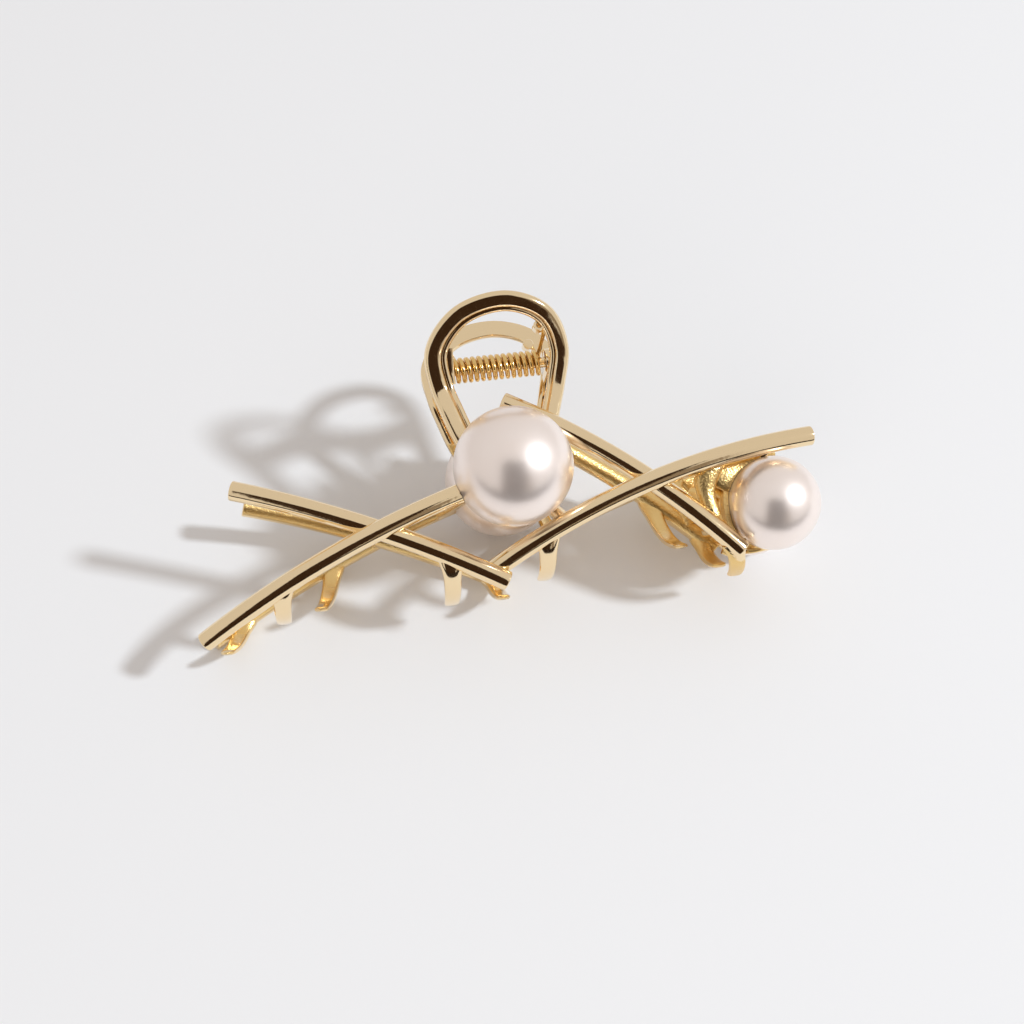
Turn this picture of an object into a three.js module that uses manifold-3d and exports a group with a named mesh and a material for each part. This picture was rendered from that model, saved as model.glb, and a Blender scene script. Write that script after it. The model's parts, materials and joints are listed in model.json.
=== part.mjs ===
// A metal claw hair clip with imitation pearls, lying on its rear jaw with the handles raised.
// Units are millimetres. The clip is designed in its own frame: X runs along the hinge pin, Z points
// up towards the handles, and Y is depth. The two jaws are mirror images across Y = 0: the front jaw
// is at -Y and the rear jaw at +Y, so each size below gives a distance outwards as "depth".
// At the end the closed clip is laid on the plane Z = 0.

import * as THREE from 'three';
import { mergeVertices } from 'three/addons/utils/BufferGeometryUtils.js';
import Module from 'manifold-3d';

const wasm = await Module();
wasm.setup();

// Driving dimensions

const FRONT = -1;
const REAR = 1;
const CLEARANCE = 0.3;

const ROD_RADIUS = 1.65;
// seat is the band of polar angles, in degrees from the pearl's inner pole, that its seat covers.
const MAIN_PEARL = { radius: 10, x: -0.9, depth: 12.1, z: -18.7, seat: [0, 40] };
const SIDE_PEARL = { radius: 8, x: 42.8, depth: 8.6, z: -29.4, seat: [32, 58] };

// A rod runs from start to end, each [x, depth, z]. bow lifts its middle, and bulge moves it outwards.
const RODS = {
  long_left_rod: { start: [-54.3, 7.0, -41.5], end: [-9.3, 11.6, -21.9], bow: 1.6, bulge: 2.8 },
  cross_left_rod: { start: [-47.3, 9.8, -17.4], end: [-3.8, 10.2, -37.4], bow: 1.3, bulge: 1.4 },
  long_right_rod: { start: [-6.0, 8.4, -35.3], end: [49.8, 12.0, -19.0], bow: 3.4, bulge: 2.6 },
  cross_right_rod: { start: [-1.0, 8.0, -7.3], end: [36.1, 9.9, -36.8], bow: 1.8, bulge: 1.6 },
};

// The rear jaw's cross rods are cast at a slightly flatter angle.
const REAR_RODS = {
  ...RODS,
  cross_left_rod: { start: [-46.9, 9.8, -18.5], end: [-4.0, 10.2, -36.2], bow: 1.3, bulge: 1.4 },
  cross_right_rod: { start: [-1.0, 8.0, -7.6], end: [36.3, 9.9, -35.4], bow: 1.8, bulge: 1.6 },
};

// A tooth curves inwards from its rod to a tip just past the middle plane, and leans from root to tip.
const TOOTH_WIDTH = 3.0;
const TOOTH_TIP_WIDTH = 2.5;
const TOOTH_ROOT_THICKNESS = 2.4;
const TOOTH_TIP_THICKNESS = 1.0;
const TOOTH_OVERREACH = 0.8;
const FRONT_TEETH = [
  { rod: 'long_left_rod', x: -40.8, tipX: -41.4, tipZ: -40.2 },
  { rod: 'cross_left_rod', x: -12.8, tipX: -13.0, tipZ: -40.4 },
  { rod: 'long_right_rod', x: 3.6, tipX: 3.3, tipZ: -38.0 },
  { rod: 'cross_right_rod', x: 34.8, tipX: 36.6, tipZ: -41.0 },
];
const REAR_TEETH = [
  { rod: 'long_left_rod', x: -48.6, tipX: -51.6, tipZ: -44.2 },
  { rod: 'long_left_rod', x: -32.3, tipX: -35.2, tipZ: -38.8 },
  { rod: 'cross_left_rod', x: -5.6, tipX: -4.0, tipZ: -40.4 },
  { rod: 'cross_right_rod', x: 25.2, tipX: 28.2, tipZ: -35.2 },
  { rod: 'cross_right_rod', x: 33.8, tipX: 34.3, tipZ: -39.2 },
];

// The handle is a band bent into a loop, given by its centre line [x, z] from left foot to right foot.
// Its legs run straight up at one depth, and from LEAN_START its top leans outwards, so that the two
// handles spread apart. LEAN_BLEND is how gradually the lean begins.
const LEG_DEPTH = 6.6;
const LEAN = 0.6;
const LEAN_START = -1.2;
const LEAN_BLEND = 1.2;
const HANDLE_LINE = [
  [-6.9, -14.5], [-8.1, -11.9], [-9.6, -7.5], [-10.8, -3.3], [-11.1, 2.2], [-6.7, 7.2],
  [1.0, 8.8], [7.3, 6.3], [9.7, 1.0], [8.7, -4.5], [7.0, -10.2],
  [6.3, -13.0],
];
const BAND_HALF_WIDTH = 1.8;
const BAND_CROWN = 1.2;
const BAND_BACK = 0.9;
const LIP_WIDTH = 1.1;
const LIP_STEP = 0.1;
const BAND_CLEARANCE_STEPS = 20;

const PIN_RADIUS = 0.9;
const PIN_ENDS = [-11.3, 11.0];
const PIN_HEAD_RADIUS = 1.5;
const PIN_HEAD_LENGTH = 0.5;
const EAR_RADIUS = 2.3;
const EAR_THICKNESS = 1.2;
const EAR_ARM = { low: -3.0, high: 2.4 };
// Each ear's near face along X; the jaws' ears sit side by side at both ends of the pin.
const EARS = {
  [FRONT]: { left: -9.5, right: 9.5 },
  [REAR]: { left: -11.0, right: 8.0 },
};

// The torsion spring is wound round the pin. Each leg leaves the top of the coil and bears on the back
// of a handle, where its tip is [x, depth, z].
const COIL_RADIUS = 1.85;
const WIRE_RADIUS = 0.4;
const COIL_ENDS = [-7.7, 7.2];
const COIL_TURNS = 14;
const FRONT_LEG_TIP = [7.5, 7.5, 3.9];
const REAR_LEG_TIP = [-7.9, 8.6, 5.2];
const BOSS = { x: 6.4, z: 4.7, radius: 0.8, hole: 0.35, near: 7.2, far: 8.8 };

// Behind each pearl is a seat, held by arms that run from it to the rods and the handle's feet.
const SEAT_THICKNESS = 0.9;
const SEAT_DEPTH = 3.0;
const ARM_RADIUS = 1.2;
const MAIN_SEAT_ARMS = [
  [[-6.4, SEAT_DEPTH, -20.6], [-12.6, 11.6, -23.4]],
  [[-5.6, SEAT_DEPTH, -14.4], [-7.9, 6.2, -12.4]],
  [[4.4, SEAT_DEPTH, -14.8], [6.9, 9.2, -12.2]],
  [[3.6, SEAT_DEPTH, -23.2], [6.6, 11.0, -28.4]],
];
const SIDE_SEAT_ARMS = [
  [[36.4, 3.6, -27.0], [32.4, 7.4, -25.2]],
  [[37.6, 3.4, -32.4], [34.4, 8.2, -32.2]],
];

// The strut that ties the long right rod to the cross right rod beside the side pearl.
const BRACKET_LINE = [[35.0, 10.3, -21.6], [31.4, 9.6, -24.6], [31.6, 9.2, -30.8]];
const BRACKET_WIDTH = 2.6;
const BRACKET_THICKNESS = 2.0;

// Materials

const gold = new THREE.MeshStandardMaterial({ color: 0xe3c48d, roughness: 0.14, metalness: 1 });
const springGold = new THREE.MeshStandardMaterial({ color: 0xd9b056, roughness: 0.22, metalness: 1 });
const pearlCoat = new THREE.MeshStandardMaterial({ color: 0xe9dfd9, roughness: 0.2, metalness: 0 });

// Helpers

const clip = new THREE.Group();

function add(name, geometry, material) {
  const mesh = new THREE.Mesh(geometry, material);
  mesh.name = name;
  clip.add(mesh);
}

function jawName(side) {
  return side === FRONT ? 'front' : 'rear';
}

function at(side, [x, depth, z]) {
  return new THREE.Vector3(x, side * depth, z);
}

function toSolid(geometry) {
  const bare = geometry.clone();
  bare.deleteAttribute('normal');
  bare.deleteAttribute('uv');
  const merged = mergeVertices(bare, 1e-4);
  return new wasm.Manifold(new wasm.Mesh({
    numProp: 3,
    vertProperties: new Float32Array(merged.attributes.position.array),
    triVerts: new Uint32Array(merged.index.array),
  }));
}

function toGeometry(solid) {
  const mesh = solid.getMesh();
  const geometry = new THREE.BufferGeometry();
  geometry.setAttribute('position', new THREE.BufferAttribute(mesh.vertProperties, 3));
  geometry.setIndex(new THREE.BufferAttribute(mesh.triVerts, 1));
  return geometry;
}

function circle(radius) {
  return new THREE.Shape().absarc(0, 0, radius, 0, Math.PI * 2);
}

function tube(curve, radius, steps, sides = 10) {
  return new THREE.ExtrudeGeometry(circle(radius), { extrudePath: curve, steps, curveSegments: sides / 2 });
}

function ball(pearl, side, extra = 0, segments = 26) {
  const geometry = new THREE.SphereGeometry(pearl.radius + extra, segments, Math.round(segments * 0.65));
  return geometry.translate(pearl.x, side * pearl.depth, pearl.z);
}

// A flat outline drawn in [y, z] and given a thickness along X, starting at x.
function plate(shape, x, thickness, curveSegments = 12) {
  const geometry = new THREE.ExtrudeGeometry(shape, { depth: thickness, bevelEnabled: false, curveSegments });
  const basis = new THREE.Matrix4().makeBasis(
    new THREE.Vector3(0, 1, 0), new THREE.Vector3(0, 0, 1), new THREE.Vector3(1, 0, 0));
  return geometry.applyMatrix4(basis).translate(x, 0, 0);
}

// Rods

function rodCurve(name, side) {
  const { start, end, bow, bulge } = (side === FRONT ? RODS : REAR_RODS)[name];
  const a = at(side, start);
  const b = at(side, end);
  const middle = a.clone().lerp(b, 0.5);
  const up = new THREE.Vector3(-(b.z - a.z), 0, b.x - a.x).normalize();
  middle.addScaledVector(up, 2 * bow);
  middle.y += side * 2 * bulge;
  return new THREE.QuadraticBezierCurve3(a, middle, b);
}

function rodTube(name, side, extra = 0) {
  return tube(rodCurve(name, side), ROD_RADIUS + extra, 12);
}

// Point on a rod's centre line at a given x.
function rodPoint(name, side, x) {
  const curve = rodCurve(name, side);
  let low = 0;
  let high = 1;
  for (let i = 0; i < 30; i += 1) {
    const middle = (low + high) / 2;
    if (curve.getPoint(middle).x < x) low = middle;
    else high = middle;
  }
  return curve.getPoint(low);
}

// The rods that pass in front notch the ones behind, and the pearls' sides scoop the rods they touch.
const NOTCHED_BY = {
  long_left_rod: [],
  cross_left_rod: ['long_left_rod'],
  long_right_rod: ['cross_left_rod'],
  cross_right_rod: ['long_right_rod'],
};

function pearlClearances(side) {
  return [MAIN_PEARL, SIDE_PEARL].map((pearl) => toSolid(ball(pearl, side, CLEARANCE, 24)));
}

function rodClearances(names, side) {
  return names.map((name) => toSolid(rodTube(name, side, CLEARANCE)));
}

function subtractAll(solid, cutters) {
  return cutters.reduce((rest, cutter) => rest.subtract(cutter), solid);
}

// A deep notch can cut a stub off the end of a piece; the stub is left out.
function largestBody(solid) {
  return solid.decompose().sort((a, b) => b.volume() - a.volume())[0];
}

function addRods(side) {
  for (const name of Object.keys(RODS)) {
    const cutters = [...pearlClearances(side), ...rodClearances(NOTCHED_BY[name], side)];
    const rod = largestBody(subtractAll(toSolid(rodTube(name, side)), cutters));
    add(`${jawName(side)}_${name}`, toGeometry(rod), gold);
  }
}

// Teeth: the side view and the front view of a tooth, each drawn flat, are extruded and intersected.

function toothSideView(side, root, tooth) {
  const tipDepth = -TOOTH_OVERREACH;
  const outer = Math.abs(root.y) + TOOTH_ROOT_THICKNESS / 2;
  const inner = Math.abs(root.y) - TOOTH_ROOT_THICKNESS / 2;
  const shape = new THREE.Shape();
  shape.moveTo(side * outer, root.z);
  shape.quadraticCurveTo(side * outer * 0.9, tooth.tipZ + 0.6, side * tipDepth, tooth.tipZ);
  shape.lineTo(side * tipDepth, tooth.tipZ + TOOTH_TIP_THICKNESS);
  shape.quadraticCurveTo(side * inner * 0.8, tooth.tipZ + 1.6, side * inner, root.z);
  shape.closePath();
  return plate(shape, tooth.x - 12, 24, 6);
}

function toothFrontView(root, tooth) {
  const half = TOOTH_WIDTH / 2;
  const tipHalf = TOOTH_TIP_WIDTH / 2;
  const shape = new THREE.Shape();
  shape.moveTo(tooth.x - half, root.z + 2);
  shape.lineTo(tooth.tipX - tipHalf, tooth.tipZ + tipHalf);
  shape.quadraticCurveTo(tooth.tipX - tipHalf, tooth.tipZ - 0.1, tooth.tipX, tooth.tipZ - 0.1);
  shape.quadraticCurveTo(tooth.tipX + tipHalf, tooth.tipZ - 0.1, tooth.tipX + tipHalf, tooth.tipZ + tipHalf);
  shape.lineTo(tooth.x + half, root.z + 2);
  shape.closePath();
  const reach = 40;
  const geometry = new THREE.ExtrudeGeometry(shape, { depth: reach, bevelEnabled: false, curveSegments: 4 });
  return geometry.rotateX(Math.PI / 2).translate(0, reach / 2, 0);
}

function addTeeth(side, teeth) {
  teeth.forEach((tooth, index) => {
    const root = rodPoint(tooth.rod, side, tooth.x);
    const shape = toSolid(toothSideView(side, root, tooth)).intersect(toSolid(toothFrontView(root, tooth)));
    const cutters = [...rodClearances(Object.keys(RODS), side), ...pearlClearances(side)];
    const solid = largestBody(subtractAll(shape, cutters));
    add(`${jawName(side)}_tooth_${index + 1}`, toGeometry(solid), gold);
  });
}

// Handle loop

function handleDepth(z) {
  const above = (z - LEAN_START) / LEAN_BLEND;
  return LEG_DEPTH + LEAN * LEAN_BLEND * Math.log1p(Math.exp(above));
}

function handleSection(side) {
  const out = -side;
  const lipEdge = BAND_HALF_WIDTH - LIP_WIDTH;
  const shape = new THREE.Shape();
  shape.moveTo(-out * BAND_BACK, BAND_HALF_WIDTH);
  shape.lineTo(0, BAND_HALF_WIDTH);
  shape.lineTo(out * LIP_STEP, lipEdge);
  const crownAt = (lipEdge - BAND_HALF_WIDTH) / 2;
  shape.quadraticCurveTo(out * 2 * BAND_CROWN, crownAt, -out * LIP_STEP, -BAND_HALF_WIDTH);
  shape.lineTo(-out * BAND_BACK, -BAND_HALF_WIDTH);
  shape.closePath();
  return shape;
}

function handleCurve(side) {
  const points = HANDLE_LINE.map(([x, z]) => at(side, [x, handleDepth(z), z]));
  return new THREE.CatmullRomCurve3(points, false, 'centripetal');
}

function addHandle(side) {
  const options = { extrudePath: handleCurve(side), steps: 34, curveSegments: 4 };
  const band = toSolid(new THREE.ExtrudeGeometry(handleSection(side), options));
  const cutters = [...rodClearances(['cross_right_rod'], side), ...pearlClearances(side)];
  const solid = largestBody(subtractAll(band, cutters));
  add(`${jawName(side)}_handle_loop`, toGeometry(solid), gold);
}

// Hinge ears, and the boss that takes the spring's leg

function earArm(side) {
  const bandBack = (z) => side * (handleDepth(z) - BAND_BACK - CLEARANCE - 0.1);
  const shape = new THREE.Shape();
  shape.moveTo(0, -EAR_RADIUS * 0.95);
  shape.lineTo(bandBack(EAR_ARM.low), EAR_ARM.low);
  shape.lineTo(bandBack(EAR_ARM.high), EAR_ARM.high);
  shape.lineTo(0, EAR_RADIUS * 0.95);
  shape.closePath();
  return shape;
}

function addEars(side) {
  for (const [end, x] of Object.entries(EARS[side])) {
    const knuckle = toSolid(plate(circle(EAR_RADIUS), x, EAR_THICKNESS));
    const arm = toSolid(plate(earArm(side), x, EAR_THICKNESS));
    const bore = toSolid(plate(circle(PIN_RADIUS + CLEARANCE + 0.02), x - 1, EAR_THICKNESS + 2));
    add(`${jawName(side)}_hinge_ear_${end}`, toGeometry(knuckle.add(arm).subtract(bore)), gold);
  }
}

function addSpringBoss(side) {
  const ring = circle(BOSS.radius);
  ring.holes.push(new THREE.Path().absarc(0, 0, BOSS.hole, 0, Math.PI * 2, true));
  const depth = BOSS.far - BOSS.near;
  const geometry = new THREE.ExtrudeGeometry(ring, { depth, bevelEnabled: false, curveSegments: 8 });
  geometry.rotateX(Math.PI / 2).translate(BOSS.x, side * (BOSS.near + BOSS.far) / 2 + depth / 2, BOSS.z);
  add(`${jawName(side)}_spring_boss`, geometry, gold);
}

// Pearls and their seats

// A spherical shell that follows the pearl's inner side: a dish, or a ring where the pole is left open.
function seatShell(pearl, side) {
  const inner = pearl.radius + CLEARANCE + 0.08;
  const outer = inner + SEAT_THICKNESS;
  const [from, to] = pearl.seat.map(THREE.MathUtils.degToRad);
  const steps = 4;
  const onSphere = (radius, i) => {
    const angle = from + (to - from) * i / steps;
    return new THREE.Vector2(radius * Math.sin(angle), -radius * Math.cos(angle));
  };
  const profile = [];
  for (let i = 0; i <= steps; i += 1) profile.push(onSphere(outer, i));
  for (let i = steps; i >= 0; i -= 1) profile.push(onSphere(inner, i));
  if (from > 0) profile.push(profile[0].clone());
  const geometry = new THREE.LatheGeometry(profile, 20);
  if (side === FRONT) geometry.rotateX(Math.PI);
  return geometry.translate(pearl.x, side * pearl.depth, pearl.z);
}

function arm(side, from, to) {
  return toSolid(tube(new THREE.LineCurve3(at(side, from), at(side, to)), ARM_RADIUS, 1, 8));
}

// The arms stop inside the shell's thickness, and the whole seat is cut back from its neighbours.
function addSeat(name, pearl, side, arms, neighbours) {
  const pearlSide = toSolid(ball(pearl, side, CLEARANCE + SEAT_THICKNESS / 2, 20));
  const cutArms = arms.map(([from, to]) => arm(side, from, to).subtract(pearlSide));
  const joined = cutArms.reduce((sum, solid) => sum.add(solid), toSolid(seatShell(pearl, side)));
  add(`${jawName(side)}_${name}`, toGeometry(largestBody(subtractAll(joined, neighbours))), gold);
}

function addPearls(side) {
  add(`${jawName(side)}_main_pearl`, ball(MAIN_PEARL, side), pearlCoat);
  add(`${jawName(side)}_side_pearl`, ball(SIDE_PEARL, side), pearlCoat);
}

// A bar of rectangular section swept along a curve, grown by extra on every side.
function bar(curve, thickness, width, steps, extra = 0) {
  const halfDepth = thickness / 2 + extra;
  const half = width / 2 + extra;
  const corners = [[-halfDepth, -half], [halfDepth, -half], [halfDepth, half], [-halfDepth, half]];
  const shape = new THREE.Shape(corners.map(([x, y]) => new THREE.Vector2(x, y)));
  return toSolid(new THREE.ExtrudeGeometry(shape, { extrudePath: curve, steps }));
}

function bracketBar(side, extra = 0) {
  const [a, b, c] = BRACKET_LINE.map((point) => at(side, point));
  return bar(new THREE.QuadraticBezierCurve3(a, b, c), BRACKET_THICKNESS, BRACKET_WIDTH, 8, extra);
}

function handleClearance(side) {
  return bar(handleCurve(side), 2 * BAND_CROWN, 2 * BAND_HALF_WIDTH, BAND_CLEARANCE_STEPS, CLEARANCE);
}

function addBracket(side) {
  const cutters = [...rodClearances(['long_right_rod', 'cross_right_rod'], side), ...pearlClearances(side)];
  add(`${jawName(side)}_side_bracket`, toGeometry(largestBody(subtractAll(bracketBar(side), cutters))), gold);
}

function addJaw(side, teeth) {
  addHandle(side);
  addEars(side);
  addSpringBoss(side);
  addRods(side);
  addBracket(side);
  addTeeth(side, teeth);
  const rods = rodClearances(Object.keys(RODS), side);
  addSeat('main_pearl_seat', MAIN_PEARL, side, MAIN_SEAT_ARMS, [...rods, handleClearance(side)]);
  addSeat('side_pearl_seat', SIDE_PEARL, side, SIDE_SEAT_ARMS, [...rods, bracketBar(side, CLEARANCE)]);
  addPearls(side);
}

// Hinge pin and torsion spring

function addPin() {
  const [left, right] = PIN_ENDS;
  const profile = [
    [0, left - PIN_HEAD_LENGTH], [PIN_HEAD_RADIUS, left - PIN_HEAD_LENGTH], [PIN_HEAD_RADIUS, left],
    [PIN_RADIUS, left], [PIN_RADIUS, right], [PIN_HEAD_RADIUS, right],
    [PIN_HEAD_RADIUS, right + PIN_HEAD_LENGTH], [0, right + PIN_HEAD_LENGTH],
  ].map(([radius, x]) => new THREE.Vector2(radius, x));
  add('hinge_pin', new THREE.LatheGeometry(profile, 16).rotateZ(-Math.PI / 2), gold);
}

// Angle round the coil at which a straight leg to the tip [y, z] leaves it; turn is the winding's sense.
function leavingAngle(y, z, turn) {
  return Math.atan2(z, y) + turn * Math.acos(COIL_RADIUS / Math.hypot(y, z));
}

function addSpring() {
  const frontTip = at(FRONT, FRONT_LEG_TIP);
  const rearTip = at(REAR, REAR_LEG_TIP);
  const first = leavingAngle(frontTip.y, frontTip.z, -1);
  const last = leavingAngle(rearTip.y, rearTip.z, 1) - COIL_TURNS * 2 * Math.PI;
  const [left, right] = COIL_ENDS;
  const samples = COIL_TURNS * 12;
  const points = [frontTip];
  for (let i = 0; i <= samples; i += 1) {
    const share = i / samples;
    const angle = first + (last - first) * share;
    const x = right + (left - right) * share;
    points.push(new THREE.Vector3(x, COIL_RADIUS * Math.cos(angle), COIL_RADIUS * Math.sin(angle)));
  }
  points.push(rearTip);
  const path = new THREE.CatmullRomCurve3(points, false, 'centripetal');
  path.arcLengthDivisions = points.length * 8;
  add('torsion_spring', tube(path, WIRE_RADIUS, samples + 16, 6), springGold);
}

// Lying pose: the plane that touches the rear main pearl, the rear side pearl and the free end of the
// rear long left rod from below. Its unit normal n meets n . (P - A) = r(P) - r(A) for each pair.
function restNormal() {
  const contacts = [MAIN_PEARL, SIDE_PEARL].map((pearl) => (
    { centre: at(REAR, [pearl.x, pearl.depth, pearl.z]), radius: pearl.radius }));
  contacts.push({ centre: at(REAR, RODS.long_left_rod.start), radius: ROD_RADIUS });
  const [a, b, c] = contacts;
  const u = b.centre.clone().sub(a.centre);
  const v = c.centre.clone().sub(a.centre);
  const w = u.clone().cross(v);
  const du = b.radius - a.radius;
  const dv = c.radius - a.radius;
  const uv = u.dot(v);
  const determinant = u.lengthSq() * v.lengthSq() - uv * uv;
  const inPlane = u.clone().multiplyScalar((du * v.lengthSq() - dv * uv) / determinant)
    .addScaledVector(v, (dv * u.lengthSq() - du * uv) / determinant);
  const across = Math.sqrt(1 - inPlane.lengthSq()) / w.length();
  return inPlane.addScaledVector(w, w.y < 0 ? across : -across);
}

function layDown() {
  const up = restNormal();
  const along = new THREE.Vector3(1, 0, 0).addScaledVector(up, -up.x).normalize();
  const back = up.clone().cross(along);
  const fromClip = new THREE.Matrix4().makeBasis(along, back, up).transpose();
  clip.quaternion.setFromRotationMatrix(fromClip);
  clip.updateMatrixWorld(true);
  const box = new THREE.Box3().setFromObject(clip, true);
  const middle = box.getCenter(new THREE.Vector3());
  clip.position.set(-middle.x, -middle.y, -box.min.z);
}

addJaw(FRONT, FRONT_TEETH);
addJaw(REAR, REAR_TEETH);
addPin();
addSpring();
layDown();

export default clip;
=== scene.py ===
# %% [markdown]
# # A metal claw hair clip with imitation pearls
# The clip is two gold-plated zinc castings on one rivet, with a torsion spring between them and
# four lacquered beads glued into cups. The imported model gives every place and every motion. This
# file gives the surfaces: each casting is made as one fused piece of metal, the way it leaves the
# mould.

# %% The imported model
import json
import math
import bmesh
import bpy
import numpy as np
from mathutils import Matrix, Vector


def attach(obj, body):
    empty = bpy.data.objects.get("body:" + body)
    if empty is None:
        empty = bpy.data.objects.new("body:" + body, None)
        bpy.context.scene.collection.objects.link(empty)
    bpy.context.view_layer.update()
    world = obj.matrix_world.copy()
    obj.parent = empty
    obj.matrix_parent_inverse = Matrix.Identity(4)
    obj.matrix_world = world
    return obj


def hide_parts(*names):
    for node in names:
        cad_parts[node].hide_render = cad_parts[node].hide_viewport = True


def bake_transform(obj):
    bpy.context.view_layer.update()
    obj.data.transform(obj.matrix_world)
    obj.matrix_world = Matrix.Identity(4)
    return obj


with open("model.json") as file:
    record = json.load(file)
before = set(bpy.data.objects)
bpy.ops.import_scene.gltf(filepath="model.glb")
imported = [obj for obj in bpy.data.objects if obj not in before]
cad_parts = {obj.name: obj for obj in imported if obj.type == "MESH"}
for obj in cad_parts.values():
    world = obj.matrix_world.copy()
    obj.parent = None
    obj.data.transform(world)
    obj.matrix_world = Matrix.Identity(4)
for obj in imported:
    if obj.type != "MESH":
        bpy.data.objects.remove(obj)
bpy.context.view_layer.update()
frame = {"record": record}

# %% [markdown]
# ## The clip's own frame
# The clip lies tilted on the table, but it is far easier to think about upright: X along the hinge
# pin, Z up to the handles, and depth measured outwards from the plane between the jaws. The hinge
# joint and the mount in the record give both axes, so one function can carry any point from that
# frame to the table.

# %% The upright frame, in millimetres, to the table, in metres
FRONT, REAR = -1, 1
MM = 0.001
hinge = frame["record"]["behaviour"]["joints"][0]
clip_x = -Vector(hinge["axis"]).normalized()
clip_z = Vector(frame["record"]["mounts"][0]["axis"]).normalized()
clip_y = clip_z.cross(clip_x).normalized()
clip_z = clip_x.cross(clip_y)
CLIP_AXES = np.array([clip_x, clip_y, clip_z])
HINGE_AT = np.array(hinge["pos_m"])


def on_table(points, side=REAR):
    """Points [x, depth, z] in mm on one jaw, to metres on the table."""
    points = np.array(points, float) * (1, side, 1)
    return points @ CLIP_AXES * MM + HINGE_AT


print("hinge at", HINGE_AT, "handles point to", CLIP_AXES[2])

# %% [markdown]
# ## Shared helpers
# Colours are written as sRGB hex, the way a colour picker shows them, and Blender's sockets want
# linear values. One function turns a list of rings into a closed skin, which covers bars, bands and
# teeth.

# %% Colour and node helpers
def srgb(hex_colour):
    channels = [int(hex_colour[i:i + 2], 16) / 255 for i in (1, 3, 5)]
    return [c / 12.92 if c <= 0.04045 else ((c + 0.055) / 1.055) ** 2.4 for c in channels] + [1.0]


def add_node(tree, kind, inputs=None, **settings):
    """Adds a node, applies its settings, and sets or links its inputs by name or index."""
    made = tree.nodes.new(kind)
    for name, value in settings.items():
        setattr(made, name, value)
    for name, value in (inputs or {}).items():
        if isinstance(value, bpy.types.NodeSocket):
            tree.links.new(value, made.inputs[name])
        else:
            made.inputs[name].default_value = value
    return made


# %% Mesh helpers
SAME_PLACE = 1e-7  # metres between points that count as one


def skin(rings):
    """A closed skin over rings of equally many points: quads along it, a flat cap on each end."""
    rings = np.array(rings, float)
    count, size = rings.shape[:2]
    faces = []
    for i in range(count - 1):
        for j in range(size):
            k = (j + 1) % size
            faces.append((i * size + j, i * size + k, (i + 1) * size + k, (i + 1) * size + j))
    faces.append(tuple(range(size))[::-1])
    faces.append(tuple(range((count - 1) * size, count * size)))
    return rings.reshape(-1, 3), faces


def shown(name, data):
    """An object for this mesh, curve or light, linked to the scene."""
    made = bpy.data.objects.new(name, data)
    bpy.context.scene.collection.objects.link(made)
    return made


def cleaned(mesh):
    """Merges a mesh's doubles and turns its faces outwards."""
    form = bmesh.new()
    form.from_mesh(mesh)
    bmesh.ops.remove_doubles(form, verts=form.verts, dist=SAME_PLACE)
    bmesh.ops.recalc_face_normals(form, faces=form.faces)
    form.to_mesh(mesh)
    form.free()
    return mesh


def as_plain_mesh(thing):
    """The mesh that an object's modifiers leave."""
    ready = thing.evaluated_get(bpy.context.evaluated_depsgraph_get())
    return bpy.data.meshes.new_from_object(ready)


def mesh_object(name, points, faces, side=REAR):
    """A mesh from upright millimetre points, placed on the table, its faces turned outwards."""
    mesh = bpy.data.meshes.new(name)
    mesh.from_pydata([tuple(p) for p in on_table(points, side)], [], faces)
    return shown(name, cleaned(mesh))


def finished(piece, material, sharp_angle):
    """Gives a piece its one material, and smooth shading that breaks at edges over the angle."""
    piece.data.materials.clear()
    piece.data.materials.append(material)
    piece.data.polygons.foreach_set("material_index", [0] * len(piece.data.polygons))
    piece.data.shade_smooth()
    piece.data.set_sharp_from_angle(angle=math.radians(sharp_angle))


def triangles(piece):
    piece.data.calc_loop_triangles()
    return len(piece.data.loop_triangles)


def unit(vectors):
    return vectors / np.linalg.norm(vectors, axis=-1, keepdims=True)


def full_turn(sides):
    """Evenly spaced angles once round a circle."""
    return np.linspace(0, 2 * math.pi, sides, endpoint=False)


def smooth_path(points, samples):
    """A centripetal Catmull-Rom curve through the points, sampled evenly along its length."""
    p = np.array(points, float)
    p = np.vstack([2 * p[0] - p[1], p, 2 * p[-1] - p[-2]])
    fine = []
    for a, b, c, d in zip(p[:-3], p[1:-2], p[2:-1], p[3:]):
        t0 = 0.0
        t1 = t0 + np.linalg.norm(b - a) ** 0.5
        t2 = t1 + np.linalg.norm(c - b) ** 0.5
        t3 = t2 + np.linalg.norm(d - c) ** 0.5
        t = np.linspace(t1, t2, 60, endpoint=False)[:, None]
        ab = (t1 - t) / (t1 - t0) * a + (t - t0) / (t1 - t0) * b
        bc = (t2 - t) / (t2 - t1) * b + (t - t1) / (t2 - t1) * c
        cd = (t3 - t) / (t3 - t2) * c + (t - t2) / (t3 - t2) * d
        abc = (t2 - t) / (t2 - t0) * ab + (t - t0) / (t2 - t0) * bc
        bcd = (t3 - t) / (t3 - t1) * bc + (t - t1) / (t3 - t1) * cd
        fine.append((t2 - t) / (t2 - t1) * abc + (t - t1) / (t2 - t1) * bcd)
    fine = np.vstack(fine + [p[-2:-1]])
    walked = np.concatenate([[0], np.cumsum(np.linalg.norm(np.diff(fine, axis=0), axis=1))])
    stops = np.linspace(0, walked[-1], samples)
    return np.column_stack([np.interp(stops, walked, fine[:, i]) for i in range(3)])
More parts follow.
